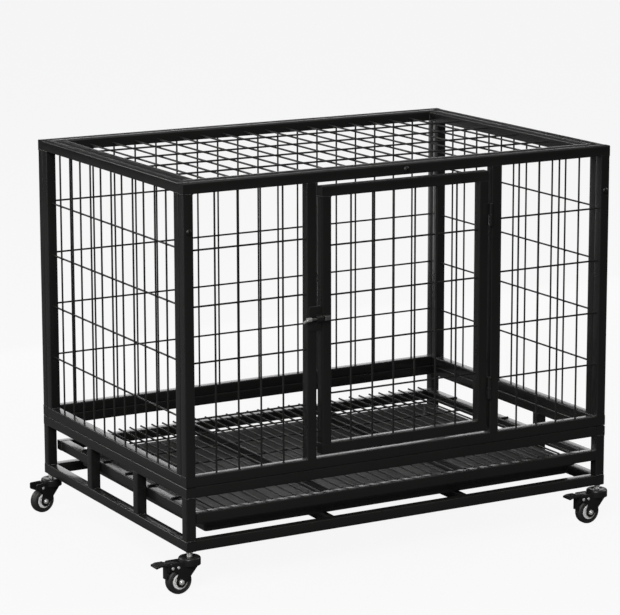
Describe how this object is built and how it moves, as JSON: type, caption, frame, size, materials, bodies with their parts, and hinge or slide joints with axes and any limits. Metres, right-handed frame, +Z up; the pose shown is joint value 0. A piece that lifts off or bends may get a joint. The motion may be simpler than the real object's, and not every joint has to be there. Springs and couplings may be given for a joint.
{
  "type": "pet cage",
  "caption": "Wheeled steel-tube pet cage with welded mesh walls, a hinged front door with a slide latch, a raised wire floor and a pull-out tray.",
  "frame": {"origin": "on the floor, under the middle of the box round the whole object, 12.75 mm to the left of the cage's own middle because the front left pedal reaches out", "axes": "+Z up, +X along the length to the right when facing the door, +Y from the door to the back; the door faces -Y"},
  "size_m": [1.0426, 0.6652, 0.767],
  "materials": {
    "black_powder_coat": "satin powder coat",
    "black_wire_coat": "satin powder coat on wire",
    "bright_zinc": "bright zinc plate",
    "tray_plastic": "matte moulded",
    "caster_black": "semi-gloss black",
    "tyre_rubber": "matte",
    "hub_grey": "smooth moulded"
  },
  "bodies": {
    "cage": {"base_left_frame": "black_powder_coat", "base_right_frame": "black_powder_coat", "base_front_bottom_rail": "black_powder_coat", "base_front_top_rail": "black_powder_coat", "base_back_bottom_rail": "black_powder_coat", "base_back_top_rail": "black_powder_coat", "base_crossbar_left": "black_powder_coat", "base_crossbar_right": "black_powder_coat", "floor_grille_frame": "black_powder_coat", "floor_grille_wires": "black_wire_coat", "front_frame": "black_powder_coat", "front_mesh_left": "black_wire_coat", "front_mesh_right": "black_wire_coat", "back_frame": "black_powder_coat", "back_mesh": "black_wire_coat", "left_frame": "black_powder_coat", "left_mesh": "black_wire_coat", "right_frame": "black_powder_coat", "right_mesh": "black_wire_coat", "roof_frame": "black_powder_coat", "roof_mesh": "black_wire_coat", "panel_screw_left": "bright_zinc", "panel_screw_right": "bright_zinc", "panel_screw_top": "bright_zinc", "latch_housing": "black_powder_coat", "hinge_lower_post_half": "black_powder_coat", "hinge_upper_post_half": "black_powder_coat", "front_left_caster_stem": "bright_zinc", "front_right_caster_stem": "bright_zinc", "back_left_caster_stem": "bright_zinc", "back_right_caster_stem": "bright_zinc"},
    "door": {"door_frame": "black_powder_coat", "door_mesh": "black_wire_coat", "hinge_lower_door_half": "black_powder_coat", "hinge_upper_door_half": "black_powder_coat", "latch_keeper": "bright_zinc"},
    "bolt": {"latch_bolt": "bright_zinc"},
    "tray": {"tray": "tray_plastic"},
    "front_left_caster": {"front_left_caster_fork": "caster_black", "front_left_caster_axle": "bright_zinc"},
    "front_left_wheel": {"front_left_caster_tyre": "tyre_rubber", "front_left_caster_hub": "hub_grey"},
    "front_left_brake": {"front_left_brake_pedal": "caster_black"},
    "front_right_caster": {"front_right_caster_fork": "caster_black", "front_right_caster_axle": "bright_zinc"},
    "front_right_wheel": {"front_right_caster_tyre": "tyre_rubber", "front_right_caster_hub": "hub_grey"},
    "front_right_brake": {"front_right_brake_pedal": "caster_black"},
    "back_left_caster": {"back_left_caster_fork": "caster_black", "back_left_caster_axle": "bright_zinc"},
    "back_left_wheel": {"back_left_caster_tyre": "tyre_rubber", "back_left_caster_hub": "hub_grey"},
    "back_right_caster": {"back_right_caster_fork": "caster_black", "back_right_caster_axle": "bright_zinc"},
    "back_right_wheel": {"back_right_caster_tyre": "tyre_rubber", "back_right_caster_hub": "hub_grey"}
  },
  "joints": [
    {"name": "door_swing", "type": "hinge", "parent": "cage", "child": "door", "pos_m": [0.20275, -0.3235, 0.483], "axis": [0, 0, 1], "range_deg": [0, 170]},
    {"name": "latch_slide", "type": "slide", "parent": "cage", "child": "bolt", "axis": [1, 0, 0], "range_m": [0, 0.0115]},
    {"name": "tray_slide", "type": "slide", "parent": "cage", "child": "tray", "axis": [0, -1, 0], "range_m": [0, 0.5]},
    {"name": "front_left_swivel", "type": "hinge", "parent": "cage", "child": "front_left_caster", "pos_m": [-0.44725, -0.3115, 0.066], "axis": [0, 0, 1], "continuous": true},
    {"name": "front_left_wheel_spin", "type": "hinge", "parent": "front_left_caster", "child": "front_left_wheel", "pos_m": [-0.47075, -0.3115, 0.025], "axis": [0, -1, 0], "continuous": true},
    {"name": "front_left_brake_tilt", "type": "hinge", "parent": "front_left_caster", "child": "front_left_brake", "pos_m": [-0.48775, -0.3115, 0.0534], "axis": [0, 1, 0], "range_deg": [0, 12]},
    {"name": "front_right_swivel", "type": "hinge", "parent": "cage", "child": "front_right_caster", "pos_m": [0.47275, -0.3115, 0.066], "axis": [0, 0, 1], "continuous": true},
    {"name": "front_right_wheel_spin", "type": "hinge", "parent": "front_right_caster", "child": "front_right_wheel", "pos_m": [0.44925, -0.3115, 0.025], "axis": [0, -1, 0], "continuous": true},
    {"name": "front_right_brake_tilt", "type": "hinge", "parent": "front_right_caster", "child": "front_right_brake", "pos_m": [0.43225, -0.3115, 0.0534], "axis": [0, 1, 0], "range_deg": [0, 12]},
    {"name": "back_left_swivel", "type": "hinge", "parent": "cage", "child": "back_left_caster", "pos_m": [-0.44725, 0.3115, 0.066], "axis": [0, 0, 1], "continuous": true},
    {"name": "back_left_wheel_spin", "type": "hinge", "parent": "back_left_caster", "child": "back_left_wheel", "pos_m": [-0.47039, 0.30742, 0.025], "axis": [0.1736, -0.9848, 0], "continuous": true},
    {"name": "back_right_swivel", "type": "hinge", "parent": "cage", "child": "back_right_caster", "pos_m": [0.47275, 0.3115, 0.066], "axis": [0, 0, 1], "continuous": true},
    {"name": "back_right_wheel_spin", "type": "hinge", "parent": "back_right_caster", "child": "back_right_wheel", "pos_m": [0.49625, 0.3115, 0.025], "axis": [0, 1, 0], "continuous": true}
  ]
}
